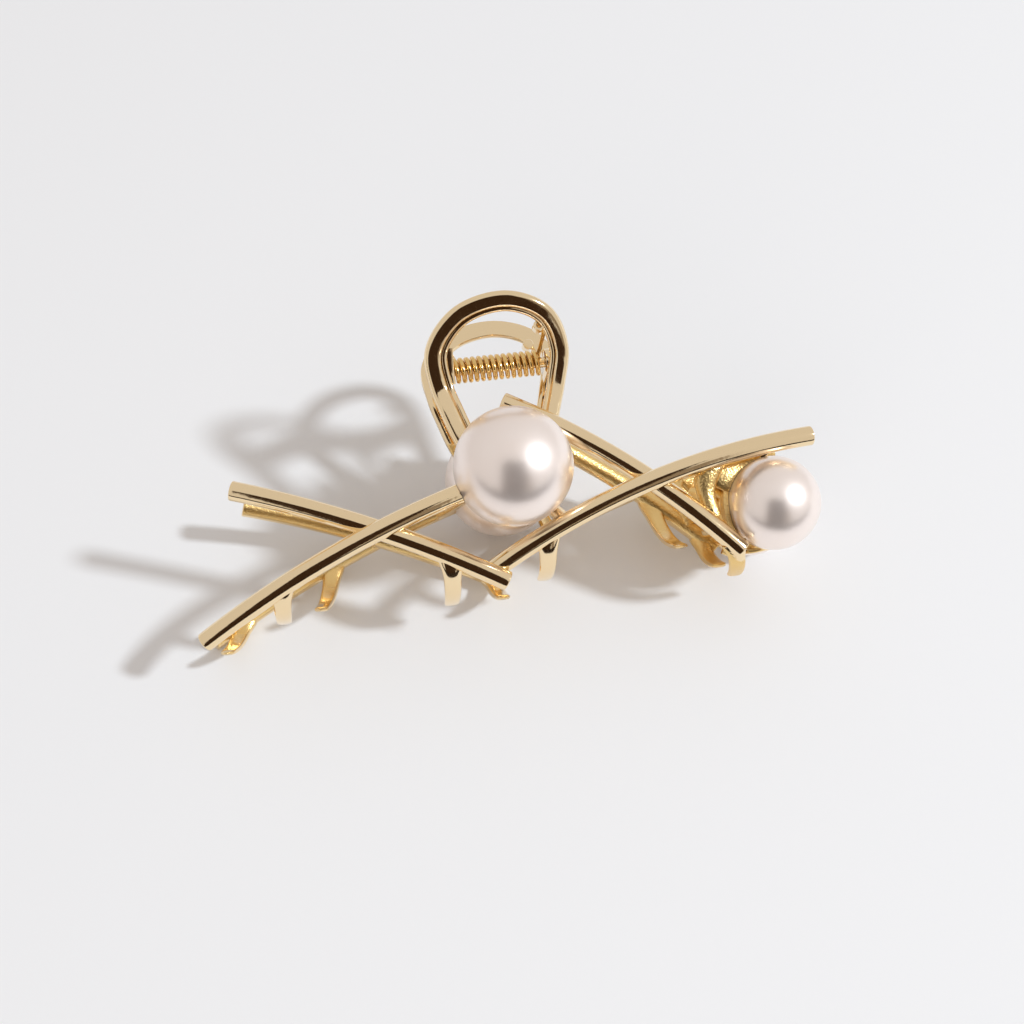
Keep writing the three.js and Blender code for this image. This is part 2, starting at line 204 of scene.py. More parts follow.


# %% [markdown]
# ## Gold plate on cast zinc
# The castings are zinc alloy, tumbled bright and then plated with pale gold. A plated metal has no
# colour under its reflection, so the metal is fully metallic and the colour is the tint of what it
# mirrors. The outward faces and both faces of the handles are polished, which leaves faint broad
# waves. The other faces turned into the clip keep the fine pebbled skin of the mould. They are also
# given a deeper gold, which is painted shade for the light that bounces between the jaws. A mesh
# attribute says how far a face turns inwards, and mixes the two finishes and the two colours.

# %% The plated finish
def plated_metal(name, colour, bounce_deepened_colour, smooth, rough):
    metal = bpy.data.materials.new(name)
    metal.use_nodes = True
    tree = metal.node_tree
    shader = tree.nodes["Principled BSDF"]
    shader.inputs["Metallic"].default_value = 1.0
    place = add_node(tree, "ShaderNodeTexCoord").outputs["Object"]
    cast = add_node(tree, "ShaderNodeAttribute", attribute_name="cast_skin_and_painted_bounce").outputs["Fac"]
    # The mould's skin has grains of about 0.35 mm; polishing leaves only broad, shallow waves.
    grain = add_node(tree, "ShaderNodeTexNoise", {"Vector": place, "Scale": 2800.0, "Detail": 3.0})
    wave = add_node(tree, "ShaderNodeTexNoise", {"Vector": place, "Scale": 420.0, "Detail": 2.0})
    # The inward faces get the deeper gold: painted shade for light that bounces between the jaws.
    tone = add_node(tree, "ShaderNodeMix", {0: cast, 6: srgb(colour), 7: srgb(bounce_deepened_colour)},
                    data_type="RGBA")
    shine = add_node(tree, "ShaderNodeMapRange", {"Value": wave.outputs["Fac"], "From Min": 0.3,
                     "From Max": 0.7, "To Min": smooth * 0.8, "To Max": smooth * 1.25})
    dull = add_node(tree, "ShaderNodeMix", {0: cast, 2: shine.outputs["Result"], 3: rough})
    bumps = add_node(tree, "ShaderNodeMath", {0: grain.outputs["Fac"], 1: cast},
                     operation="MULTIPLY")
    relief = add_node(tree, "ShaderNodeBump", {"Height": bumps.outputs["Value"], "Strength": 0.9,
                      "Distance": 0.00012})
    ripple = add_node(tree, "ShaderNodeBump", {"Height": wave.outputs["Fac"], "Strength": 0.4,
                      "Distance": 0.00006, "Normal": relief.outputs["Normal"]})
    tree.links.new(tone.outputs[2], shader.inputs["Base Color"])
    tree.links.new(dull.outputs[0], shader.inputs["Roughness"])
    tree.links.new(ripple.outputs["Normal"], shader.inputs["Normal"])
    return metal


gold = plated_metal("gold_plated_cast_zinc", "#FAE2B8", "#F3D08C", 0.09, 0.3)
print("material:", gold.name)

# %% [markdown]
# ## Rods
# Four round bars per jaw, each gently bowed, cross in pairs like twigs. A bar is a circle swept
# along a curve, which is a rule, so a small Geometry Nodes tree makes it: the curve's own point
# radius rounds the two cut ends, and the tree's inputs give the bar's radius and the number of
# sides. The same tree later draws the spring from a thinner circle and a longer curve.

# %% The sweeping tree
def sweep_tree():
    tree = bpy.data.node_groups.new("round_bar", "GeometryNodeTree")
    face = tree.interface
    face.new_socket("Path", in_out="INPUT", socket_type="NodeSocketGeometry")
    face.new_socket("Bar radius", in_out="INPUT", socket_type="NodeSocketFloat")
    face.new_socket("Sides", in_out="INPUT", socket_type="NodeSocketInt")
    face.new_socket("Finish", in_out="INPUT", socket_type="NodeSocketMaterial")
    face.new_socket("Bar", in_out="OUTPUT", socket_type="NodeSocketGeometry")
    given = add_node(tree, "NodeGroupInput").outputs
    ring = add_node(tree, "GeometryNodeCurvePrimitiveCircle",
                    {"Resolution": given["Sides"], "Radius": given["Bar radius"]})
    bar = add_node(tree, "GeometryNodeCurveToMesh", {"Curve": given["Path"],
                   "Profile Curve": ring.outputs["Curve"], "Fill Caps": True,
                   "Scale": add_node(tree, "GeometryNodeInputRadius").outputs["Radius"]})
    whole = add_node(tree, "GeometryNodeRealizeInstances", {"Geometry": bar.outputs["Mesh"]})
    done = add_node(tree, "GeometryNodeSetMaterial", {"Geometry": whole.outputs["Geometry"],
                    "Material": given["Finish"]})
    add_node(tree, "NodeGroupOutput", {"Bar": done.outputs["Geometry"]})
    return tree


ROUND_BAR = sweep_tree()
EDGE_STEPS = 6


def sweep(name, path, radius, sides, finish, side=REAR, edge=0.0):
    """Sweeps a bar along upright millimetre points and returns it as a plain mesh on the table."""
    path = np.array(path, float)
    radii = np.ones(len(path))
    if edge:
        # Each cut end is closed in round a quarter circle, in a few short steps.
        turn = np.linspace(0, math.pi / 2, EDGE_STEPS)
        rim = 1 - edge / radius * (1 - np.sin(turn))
        inset = edge * (1 - np.cos(turn))[:, None]
        first, last = unit(path[1] - path[0]), unit(path[-1] - path[-2])
        path = np.vstack([path[0] + first * inset, path[1:-1], path[-1] - last * inset[::-1]])
        radii = np.concatenate([rim, radii[1:-1], rim[::-1]])
    curve = bpy.data.curves.new(name + "_path", "CURVE")
    curve.dimensions = "3D"
    spline = curve.splines.new("POLY")
    spline.points.add(len(path) - 1)
    for point, place, scale in zip(spline.points, on_table(path, side), radii):
        point.co = (*place, 1)
        point.radius = scale
    drawn = shown(name + "_path", curve)
    modifier = drawn.modifiers.new("bar", "NODES")
    modifier.node_group = ROUND_BAR
    values = {"Bar radius": radius * MM, "Sides": sides, "Finish": finish}
    for item in ROUND_BAR.interface.items_tree:
        if item.name in values:
            modifier[item.identifier] = values[item.name]
    mesh = as_plain_mesh(drawn)
    bpy.data.objects.remove(drawn)
    return shown(name, cleaned(mesh))


# %% The eight rods
ROD_RADIUS, ROD_EDGE, ROD_SIDES = 1.65, 0.22, 56  # ROD_EDGE rounds the cut ends
# start and end are [x, depth, z]; bow lifts the middle and bulge moves it outwards.
RODS = {
    "long_left_rod": dict(start=(-54.3, 7.0, -41.5), end=(-9.3, 11.6, -21.9), bow=1.6, bulge=2.8),
    "cross_left_rod": dict(start=(-47.3, 9.8, -17.4), end=(-3.8, 10.2, -37.4), bow=1.3, bulge=1.4),
    "long_right_rod": dict(start=(-6.0, 8.4, -35.3), end=(49.8, 12.0, -19.0), bow=3.4, bulge=2.6),
    "cross_right_rod": dict(start=(-1.0, 8.0, -7.3), end=(36.1, 9.9, -36.8), bow=1.8, bulge=1.6),
}
# The rear jaw's cross rods are cast at a slightly flatter angle.
REAR_RODS = dict(RODS)
REAR_RODS["cross_left_rod"] = dict(RODS["cross_left_rod"], start=(-46.9, 9.8, -18.5),
                                   end=(-4.0, 10.2, -36.2))
REAR_RODS["cross_right_rod"] = dict(RODS["cross_right_rod"], start=(-1.0, 8.0, -7.6),
                                    end=(36.3, 9.9, -35.4))


def rod_path(name, side, samples=70):
    rod = (RODS if side == FRONT else REAR_RODS)[name]
    a, b = np.array(rod["start"]), np.array(rod["end"])
    across = unit(np.array([-(b - a)[2], 0, (b - a)[0]]))
    middle = (a + b) / 2 + 2 * rod["bow"] * across + (0, 2 * rod["bulge"], 0)
    t = np.linspace(0, 1, samples)[:, None]
    return (1 - t) ** 2 * a + 2 * t * (1 - t) * middle + t ** 2 * b


def cast_rods(side):
    return [sweep(f"{name}_{side}", rod_path(name, side), ROD_RADIUS, ROD_SIDES, gold, side,
                  edge=ROD_EDGE) for name in RODS]


blanks = {side: cast_rods(side) for side in (FRONT, REAR)}
print("rod triangles:", [triangles(rod) for rod in blanks[FRONT]])

# %% [markdown]
# ## Handle loops
# Each handle is a band bent into a horseshoe. Its outward face is a broad, almost flat facet with a
# rounded outer edge, and along the inner edge runs a narrow lip, parted from the facet by a fine
# groove. The section turns with the loop, so it is placed ring by ring: one axis points outwards
# from the jaw, the other towards the middle of the loop.

# %% The band's section and its sweep
# The middle of the band as [x, z], from the left leg's foot over the top to the right leg's foot.
HANDLE_LINE = [(-6.9, -14.5), (-8.1, -11.9), (-9.6, -7.5), (-10.8, -3.3), (-11.1, 2.2), (-6.7, 7.2),
               (1.0, 8.8), (7.3, 6.3), (9.7, 1.0), (8.7, -4.5), (7.0, -10.2), (6.3, -13.0)]
# The legs run straight up at one depth. From LEAN_START the top leans outwards, with a slope of
# LEAN that comes in over LEAN_BLEND.
LEG_DEPTH, LEAN, LEAN_START, LEAN_BLEND = 6.6, 0.6, -0.8, 0.6
# The band narrows from one foot to the other. BACK is how far its back lies behind that middle.
HANDLE_HALF_WIDTHS = [2.0, 2.0, 1.95, 1.9, 1.85, 1.8, 1.75, 1.7, 1.6, 1.5, 1.45]
BACK = 0.9


def handle_depth(z):
    return LEG_DEPTH + LEAN * LEAN_BLEND * np.log1p(np.exp((z - LEAN_START) / LEAN_BLEND))


def band_section():
    """Points [u, v]: u from -1 at the outer edge to 1 at the inner one, v outwards in mm."""
    facet = [(-1.0, 0.05), (-0.98, 0.24), (-0.93, 0.44), (-0.86, 0.6), (-0.77, 0.72),
             (-0.67, 0.785), (-0.5, 0.81), (-0.25, 0.825), (0.0, 0.825), (0.16, 0.81),
             (0.28, 0.77), (0.36, 0.68), (0.42, 0.52), (0.46, 0.3)]
    groove = [(0.49, 0.02), (0.53, 0.04)]
    lip = [(0.57, 0.2), (0.65, 0.26), (0.79, 0.25), (0.9, 0.18), (0.97, 0.06), (1.0, -0.12)]
    back = [(1.0, -0.55), (0.95, -0.75), (0.82, -0.88), (0.5, -BACK), (0.0, -BACK), (-0.5, -BACK),
            (-0.82, -0.86), (-0.95, -0.7), (-1.0, -0.4), (-1.02, -0.1)]
    return np.array(facet + groove + lip + back)


def handle_rings(samples=150):
    line = smooth_path([(x, handle_depth(z), z) for x, z in HANDLE_LINE], samples)
    along = unit(np.gradient(line, axis=0))
    slope = LEAN / (1 + np.exp((LEAN_START - line[:, 2]) / LEAN_BLEND))
    outward = unit(np.column_stack([np.zeros(samples), np.ones(samples), -slope]))
    inward = unit(np.cross(outward, along))
    knots = np.linspace(0, 1, len(HANDLE_HALF_WIDTHS))
    half = np.interp(np.linspace(0, 1, samples), knots, HANDLE_HALF_WIDTHS)
    section = band_section()
    return (line[:, None] + inward[:, None] * (section[None, :, :1] * half[:, None, None])
            + outward[:, None] * section[None, :, 1:])


for side in (FRONT, REAR):
    blanks[side].append(mesh_object(f"handle_{side}", *skin(handle_rings()), side))
print("handle triangles:", triangles(blanks[FRONT][-1]))

# %% [markdown]
# ## Teeth
# Short flattened prongs grow from the underside of the rods and hook in towards the other jaw. Each
# one is a stack of ovals that shrinks and turns along a quarter bend, wide along the jaw and thin
# across it.

# %% Teeth
TOOTH_HALF_WIDTH, TOOTH_TIP_HALF_WIDTH = 1.55, 1.25
TOOTH_HALF_THICKNESS, TOOTH_TIP_HALF_THICKNESS = 1.15, 0.42
TOOTH_OVERREACH = 0.8  # how far a tip passes the plane between the jaws
KNEE_DEPTH, KNEE_RISE, TIP_RISE = 0.86, 1.1, 0.5
FLARE, FLARE_SHARE, CLOSING_SHARE = 0.4, 0.16, 0.1
OVAL_POWER = 0.75
# Each tooth: its rod, the x of its root, and the x and z of its tip.
TEETH = {
    FRONT: [("long_left_rod", -40.8, -41.4, -40.2), ("cross_left_rod", -12.8, -13.0, -40.4),
            ("long_right_rod", 3.6, 3.3, -38.0), ("cross_right_rod", 34.8, 36.6, -41.0)],
    REAR: [("long_left_rod", -48.6, -51.6, -44.2), ("long_left_rod", -32.3, -35.2, -38.8),
           ("cross_left_rod", -4.9, -3.9, -40.4), ("cross_right_rod", 25.2, 28.2, -35.2),
           ("cross_right_rod", 33.8, 34.3, -39.2)],
}


def rod_at(name, side, x):
    path = rod_path(name, side, 200)
    return path[np.argmin(abs(path[:, 0] - x))]


def tooth_rings(side, rod, x, tip_x, tip_z, samples=26, sides=28):
    root = rod_at(rod, side, x)
    tip = np.array([tip_x, -TOOTH_OVERREACH, tip_z + TIP_RISE])
    knee = np.array([(x + tip_x) / 2, root[1] * KNEE_DEPTH, tip_z + KNEE_RISE])
    t = np.linspace(0, 1, samples)[:, None]
    line = (1 - t) ** 2 * root + 2 * t * (1 - t) * knee + t ** 2 * tip
    along = unit(np.gradient(line, axis=0))
    wide = unit(np.array([1.0, 0, 0]) - along * along[:, :1])
    thick = np.cross(along, wide)
    # The root flares where it runs into the rod, and the last tenth closes in round.
    closing = np.clip((t - (1 - CLOSING_SHARE)) / CLOSING_SHARE, 0, 1)
    close = np.sqrt(np.clip(1 - closing ** 2, 0.02, 1))
    flare = 1 + FLARE * np.exp(-(t / FLARE_SHARE) ** 2)
    half_wide = (TOOTH_HALF_WIDTH + (TOOTH_TIP_HALF_WIDTH - TOOTH_HALF_WIDTH) * t) * close * flare
    thinning = (TOOTH_TIP_HALF_THICKNESS - TOOTH_HALF_THICKNESS) * t
    half_thick = (TOOTH_HALF_THICKNESS + thinning) * close
    angle = full_turn(sides)
    # A squarish oval: the sides of a cast prong are flatter than an ellipse's.
    u = np.sign(np.cos(angle)) * abs(np.cos(angle)) ** OVAL_POWER
    v = np.sign(np.sin(angle)) * abs(np.sin(angle)) ** OVAL_POWER
    return (line[:, None] + wide[:, None] * (half_wide * u)[:, :, None]
            + thick[:, None] * (half_thick * v)[:, :, None])


for side, teeth in TEETH.items():
    for number, tooth in enumerate(teeth, 1):
        prong = skin(tooth_rings(side, *tooth))
        blanks[side].append(mesh_object(f"tooth_{side}_{number}", *prong, side))
print("tooth triangles:", triangles(blanks[FRONT][-1]))

# %% [markdown]
# ## Pearl cups
# Each bead sits in a shallow cup of the casting. A cup is a piece of spherical shell: a dish behind
# the main bead, and behind the side bead a ring with a taller wall on the side that faces the rods.
# Short arms tie the cups to the rods.

# %% Cups and arms
MAIN_PEARL = dict(radius=10.0, centre=(-0.9, 12.1, -18.7))
SIDE_PEARL = dict(radius=8.0, centre=(42.8, 8.6, -29.4))
CUP_GAP, CUP_WALL, CUP_SIDES = 0.06, 0.9, 72
# Polar angles in degrees from the inward pole: where a cup starts and where its rim stands.
MAIN_DISH = (0.01, 40)
SIDE_RING_START, SIDE_RING_RIM = 32, 58
WALL_RISE, WALL_DIRECTION, WALL_SPREAD = 40, 180, 100


def cup(pearl, low, high, steps=14, sides=CUP_SIDES):
    """A shell from polar angle low to high, where high may be one angle per side."""
    centre = np.array(pearl["centre"])
    inner, outer = pearl["radius"] + CUP_GAP, pearl["radius"] + CUP_GAP + CUP_WALL
    high = np.broadcast_to(high, sides)
    turn = full_turn(sides)
    rings = []
    for radius, order in ((outer, np.linspace(0, 1, steps)), (inner, np.linspace(1, 0, steps))):
        for share in order:
            tilt = np.radians(low + (high - low) * share)
            rings.append(np.column_stack([np.sin(tilt) * np.cos(turn), -np.cos(tilt),
                                          np.sin(tilt) * np.sin(turn)]) * radius + centre)
    count = len(rings)
    faces = []
    for i in range(count):
        for j in range(sides):
            k, n = (j + 1) % sides, (i + 1) % count
            faces.append((i * sides + j, i * sides + k, n * sides + k, n * sides + j))
    return np.array(rings).reshape(-1, 3), faces


def facing(angle, spread, sides=CUP_SIDES):
    """1 on the side of a cup at this angle, from +X towards +Z, falling to 0 past the spread."""
    turn = np.degrees(full_turn(sides))
    away = abs((turn - angle + 180) % 360 - 180)
    return 0.5 + 0.5 * np.cos(np.clip(away / spread, 0, 1) * math.pi)


ARM_RADIUS, ARM_EDGE, ARM_SIDES = 1.2, 0.2, 32
ARMS = {
    "main": [((-6.4, 3, -20.6), (-12.6, 11.6, -23.4)), ((-5.6, 3, -14.4), (-7.9, 6.2, -12.4)),
             ((4.4, 3, -14.8), (6.9, 9.2, -12.2)), ((3.6, 3, -23.2), (6.6, 11.0, -28.4))],
    "side": [((36.4, 3.6, -27.0), (32.4, 7.4, -25.2)), ((37.6, 3.4, -32.4), (34.4, 8.2, -32.2))],
}
for side in (FRONT, REAR):
    main_cup = cup(MAIN_PEARL, *MAIN_DISH)
    rim = SIDE_RING_RIM + WALL_RISE * facing(WALL_DIRECTION, WALL_SPREAD)
    side_cup = cup(SIDE_PEARL, SIDE_RING_START, rim)
    blanks[side] += [mesh_object(f"main_cup_{side}", *main_cup, side),
                     mesh_object(f"side_cup_{side}", *side_cup, side)]
    for number, (a, b) in enumerate(ARMS["main"] + ARMS["side"]):
        blanks[side].append(sweep(f"arm_{side}_{number}", np.linspace(a, b, 8), ARM_RADIUS,
                                  ARM_SIDES, gold, side, edge=ARM_EDGE))
print("cup triangles:", triangles(blanks[FRONT][-7]))

# %% [markdown]
# ## Bracket, web and hinge ears
# Beside the side bead a strut ties the two right rods together, a thin web closes the corner
# between the upper rod and the cup, and a short prong stands below. Behind each handle stand the
# ears that the pin runs through, and a small lug with a hole takes the spring's leg.

# %% Struts and webs
def strut_rings(line, half_width, half_thickness, samples=30, sides=20):
    line = smooth_path(line, samples)
    along = unit(np.gradient(line, axis=0))
    thick = unit(np.array([0, 1.0, 0]) - along * along[:, 1:2])
    wide = np.cross(along, thick)
    angle = full_turn(sides)
    knots = np.linspace(0, 1, len(half_width))
    half_width = np.interp(np.linspace(0, 1, samples), knots, half_width)
    return (line[:, None] + wide[:, None] * (half_width[:, None] * np.cos(angle))[:, :, None]
            + thick[:, None] * (half_thickness * np.sin(angle))[None, :, None])


def plate_rings(outline, start, thickness, edge=0.15):
    """An outline of [depth, z] points given a thickness along X, with its two rims eased."""
    outline = np.array(outline, float)
    middle = outline.mean(axis=0)
    rings = []
    for x, inset in ((0, edge), (edge * 0.4, edge * 0.3), (edge, 0), (thickness - edge, 0),
                     (thickness - edge * 0.4, edge * 0.3), (thickness, edge)):
        away = outline - middle
        size = np.linalg.norm(away, axis=1, keepdims=True)
        ring = middle + away * (1 - inset / size)
        rings.append(np.column_stack([np.full(len(ring), start + x), ring]))
    return rings


# line is [x, depth, z] along the strut; half_width gives its half widths from one end to the other.
STRUTS = {
    "bracket": dict(line=[(33.2, 10.6, -20.6), (31.6, 10.3, -23.4), (31.2, 9.8, -26.4),
                          (32.0, 9.6, -30.6)],
                    half_width=[2.2, 2.2, 1.5, 1.4], half_thickness=1.1),
    "web": dict(line=[(31.6, 9.2, -22.6), (35.0, 9.2, -23.8), (38.2, 9.0, -22.9),
                      (42.4, 9.6, -21.0)],
                half_width=[0.9, 3.0, 2.1, 0.8], half_thickness=0.7),
    "prong": dict(line=[(36.4, 5.6, -36.0), (38.2, 6.0, -36.9), (40.2, 6.2, -37.0)],
                  half_width=[0.7, 0.5, 0.25], half_thickness=0.4),
}
for side in (FRONT, REAR):
    for name, strut in STRUTS.items():
        blanks[side].append(mesh_object(f"{name}_{side}", *skin(strut_rings(**strut)), side))
print("strut triangles:", [triangles(strut) for strut in blanks[FRONT][-len(STRUTS):]])

# %% Hinge ears and spring lugs
EAR_RADIUS, EAR_THICKNESS = 2.3, 1.2
BORE_RADIUS, BORE_REACH = 1.0, 12.5  # BORE_REACH is half the cutter's length
EARS = {FRONT: (-9.5, 9.5), REAR: (-11.0, 8.0)}
LUG = dict(x=6.5, z=4.7, radius=0.95, hole=0.4, near=7.2, far=10.0)


def ear_outline():
    arc = np.radians(np.linspace(82, 278, 25))
    arm = [(handle_depth(z) - 0.4, z) for z in (-3.2, -1.4, 0.6, 2.6)]
    return [(EAR_RADIUS * math.cos(a), EAR_RADIUS * math.sin(a)) for a in arc] + arm


def lug_rings(sides=32):
    turn = full_turn(sides)
    profile = [(LUG["radius"] * 0.9, LUG["near"]), (LUG["radius"], LUG["near"] + 0.15),
               (LUG["radius"], LUG["far"] - 0.2), (LUG["radius"] * 0.85, LUG["far"]),
               (LUG["hole"] * 1.3, LUG["far"]), (LUG["hole"], LUG["far"] - 0.2),
               (LUG["hole"], LUG["far"] - 1.6)]
    return [np.column_stack([LUG["x"] + radius * np.cos(turn), np.full(sides, depth),
                             LUG["z"] + radius * np.sin(turn)]) for radius, depth in profile]


for side, starts in EARS.items():
    for number, start in enumerate(starts):
        rings = plate_rings(ear_outline(), start, EAR_THICKNESS)
        blanks[side].append(mesh_object(f"ear_{side}_{number}", *skin(rings), side))
    blanks[side].append(mesh_object(f"lug_{side}", *skin(lug_rings()), side))
print("blanks per jaw:", {side: len(parts) for side, parts in blanks.items()})

# %% [markdown]
# ## One casting per jaw
# The blanks overlap where the metal runs together, so a Boolean union fuses them into a single
# skin. Two spheres a hair larger than the beads then cut their seats, and a cylinder cuts the pin's
# bore through both ears. The finish attribute is measured at each point: how far the surface there
# points towards the plane between the jaws. It marks the mould's skin, and also the deeper gold
# there, which is painted shade for light bounced between the jaws.

# %% Fusing a casting
POLE_GAP = 0.002  # radians left open at a sphere's poles, so that its caps have an area


def bead_cutter(bead, side, turns=96, tilts=60):
    turn = full_turn(turns)
    rings = []
    for tilt in np.linspace(POLE_GAP, math.pi - POLE_GAP, tilts):
        ring = np.column_stack([np.sin(tilt) * np.cos(turn), np.full(turns, -np.cos(tilt)),
                                np.sin(tilt) * np.sin(turn)])
        rings.append(ring * (bead["radius"] + CUP_GAP) + bead["centre"])
    return mesh_object("seat_cutter", *skin(rings), side)


def bore_cutter(side, turns=48):
    turn = full_turn(turns)
    y, z = BORE_RADIUS * np.cos(turn), BORE_RADIUS * np.sin(turn)
    rings = [np.column_stack([np.full(turns, x), y, z]) for x in (-BORE_REACH, BORE_REACH)]
    return mesh_object("bore_cutter", *skin(rings), side)


def fuse(name, parts, cutters):
    """One mesh of all the parts, less the cutters; it uses them up."""
    body = parts[0]
    tools = [(part, "UNION") for part in parts[1:]] + [(cutter, "DIFFERENCE") for cutter in cutters]
    for tool, operation in tools:
        modifier = body.modifiers.new(operation.lower(), "BOOLEAN")
        modifier.solver = "MANIFOLD"
        modifier.operation = operation
        modifier.object = tool
    mesh = as_plain_mesh(body)
    for used in [body] + [tool for tool, _ in tools]:
        bpy.data.objects.remove(used)
    return shown(name, mesh)


HANDLE_SPAN, HANDLE_FOOT = 14, -12  # mm: a handle lies inside this |x| and above this z
TUCKED_LEFT, TUCKED_RIGHT, TUCKED_DEPTH = 29, 41, 11.6


def mark_cast_skin_and_painted_bounce(piece, side):
    """Writes the finish mask: 0 where the surface is polished, 1 where it keeps the mould's skin
    and the deeper gold painted as bounce shade.
    """
    mesh = piece.data
    normals = np.array([v.normal[:] for v in mesh.vertices]) @ CLIP_AXES.T
    places = (np.array([v.co[:] for v in mesh.vertices]) - HINGE_AT) @ CLIP_AXES.T / MM
    inward = np.clip((-normals[:, 1] * side - 0.35) / 0.4, 0, 1)
    # Both faces of a handle are polished, since both show.
    inward[(abs(places[:, 0]) < HANDLE_SPAN) & (places[:, 2] > HANDLE_FOOT)] = 0
    # The bracket and the web are too tucked away to polish on any face. Because they sit tucked
    # between the rods, they also get the deeper gold that is painted shade.
    tucked = (places[:, 0] > TUCKED_LEFT) & (places[:, 0] < TUCKED_RIGHT)
    tucked &= abs(places[:, 1]) < TUCKED_DEPTH
    for name in RODS:
        to_rod = places[:, None, ::2] - rod_path(name, side, 40)[None, :, ::2]
        tucked &= np.hypot(to_rod[..., 0], to_rod[..., 1]).min(axis=1) > ROD_RADIUS + 0.1
    mesh.attributes.new("cast_skin_and_painted_bounce", "FLOAT", "POINT")
    values = np.maximum(inward, tucked * 1.0).astype(np.float32)
    mesh.attributes["cast_skin_and_painted_bounce"].data.foreach_set("value", values)


SHARP_CAST, SHARP_TURNED = 32, 50  # degrees past which an edge shows as an edge
JAW = {FRONT: "front", REAR: "rear"}
castings = {}
for side, jaw in JAW.items():
    cutters = [bead_cutter(MAIN_PEARL, side), bead_cutter(SIDE_PEARL, side), bore_cutter(side)]
    casting = fuse(f"{jaw}_casting", blanks[side], cutters)
    finished(casting, gold, SHARP_CAST)
    mark_cast_skin_and_painted_bounce(casting, side)
    castings[side] = casting
    print(casting.name, triangles(casting), "triangles")

# %% Castings ride on their jaws
CAST_NODES = ["handle_loop", "hinge_ear_left", "hinge_ear_right", "spring_boss",
              "long_left_rod", "cross_left_rod", "long_right_rod", "cross_right_rod",
              "side_bracket", "main_pearl_seat", "side_pearl_seat"]
for side, jaw in JAW.items():
    names = [f"{jaw}_{name}" for name in CAST_NODES]
    names += [f"{jaw}_tooth_{number + 1}" for number in range(len(TEETH[side]))]
    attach(castings[side], f"{jaw}_jaw")
    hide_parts(*names)

# %% [markdown]
# ## Rivet
# The hinge pin is a length of plated wire whose two ends are peened over the outer ears into low
# domes. A half profile spun round the hinge axis gives it.

# %% The hinge rivet
def spun(name, profile, origin, axis, side=REAR, sides=48):
    """Spins [radius, distance along the axis] points round an upright axis, 'x' or 'depth'."""
    turn = full_turn(sides)
    rings = []
    for radius, reach in profile:
        across = radius * np.column_stack([np.cos(turn), np.sin(turn)])
        ring = np.column_stack([np.full(sides, reach), across])
        rings.append((ring if axis == "x" else ring[:, [1, 0, 2]]) + origin)
    return mesh_object(name, *skin(rings), side)


PIN_RADIUS, PIN_LEFT, PIN_RIGHT = 0.9, -11.15, 10.85
HEAD = [(0.02, 0.62), (0.5, 0.6), (0.95, 0.5), (1.28, 0.32), (1.42, 0.12), (1.42, 0.0),
        (PIN_RADIUS, 0.0)]
left_end = [(r, PIN_LEFT - reach) for r, reach in HEAD]
right_end = [(r, PIN_RIGHT + reach) for r, reach in HEAD[::-1]]
pin = spun("hinge_rivet", left_end + right_end, (0, 0, 0), "x")
finished(pin, gold, SHARP_TURNED)
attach(pin, "rear_jaw")
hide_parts("hinge_pin")
print("rivet", triangles(pin), "triangles")

# %% [markdown]
# ## Torsion spring
# The spring is drawn wire, plated a deeper yellow than the castings, wound fourteen turns round the
# pin. One straight leg leaves each end and bears on the back of a handle. The path is a helix with
# two tangents, and the sweeping tree draws the wire along it. The coil winds up as the jaws open,
# but here the wire is one fixed mesh that follows neither jaw.

# %% The spring wire
spring_gold = plated_metal("gold_plated_spring_wire", "#F0CB86", "#F0CB86", 0.16, 0.16)
COIL_RADIUS, WIRE_RADIUS, WIRE_SIDES = 1.85, 0.42, 14
COIL_LEFT, COIL_RIGHT, COIL_TURNS = -7.7, 7.2, 14
FRONT_LEG_TIP, REAR_LEG_TIP = (7.5, -7.6, 4.0), (-7.9, 8.6, 5.2)


def leaving_angle(tip, turn):
    """Where round the coil a straight leg to the tip leaves it; turn is the winding's sense."""
    _, y, z = tip
    return math.atan2(z, y) + turn * math.acos(COIL_RADIUS / math.hypot(y, z))


def spring_path(per_turn=28, leg_steps=10):
    first = leaving_angle(FRONT_LEG_TIP, -1)
    last = leaving_angle(REAR_LEG_TIP, 1) - COIL_TURNS * 2 * math.pi
    share = np.linspace(0, 1, COIL_TURNS * per_turn)
    angle = first + (last - first) * share
    coil = np.column_stack([COIL_RIGHT + (COIL_LEFT - COIL_RIGHT) * share,
                            COIL_RADIUS * np.cos(angle), COIL_RADIUS * np.sin(angle)])
    front_leg = np.linspace(FRONT_LEG_TIP, coil[0], leg_steps, endpoint=False)
    rear_leg = np.linspace(REAR_LEG_TIP, coil[-1], leg_steps, endpoint=False)[::-1]
    return np.vstack([front_leg, coil, rear_leg])


spring = sweep("torsion_spring_wire", spring_path(), WIRE_RADIUS, WIRE_SIDES, spring_gold, REAR)
finished(spring, spring_gold, SHARP_TURNED)
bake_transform(spring)
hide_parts("torsion_spring")
print("spring", triangles(spring), "triangles")

# %% [markdown]
# ## Imitation pearls
# An imitation pearl is a moulded bead dipped again and again in pearl-essence lacquer. Fine mica
# flakes in the lacquer mirror most of the light softly, and a clear last coat adds a sharper gleam.
# So the shader is mostly metallic at a middling roughness, under a thin smooth coat. The bead is
# spun from a half profile with its drilled hole, which faces the cup.

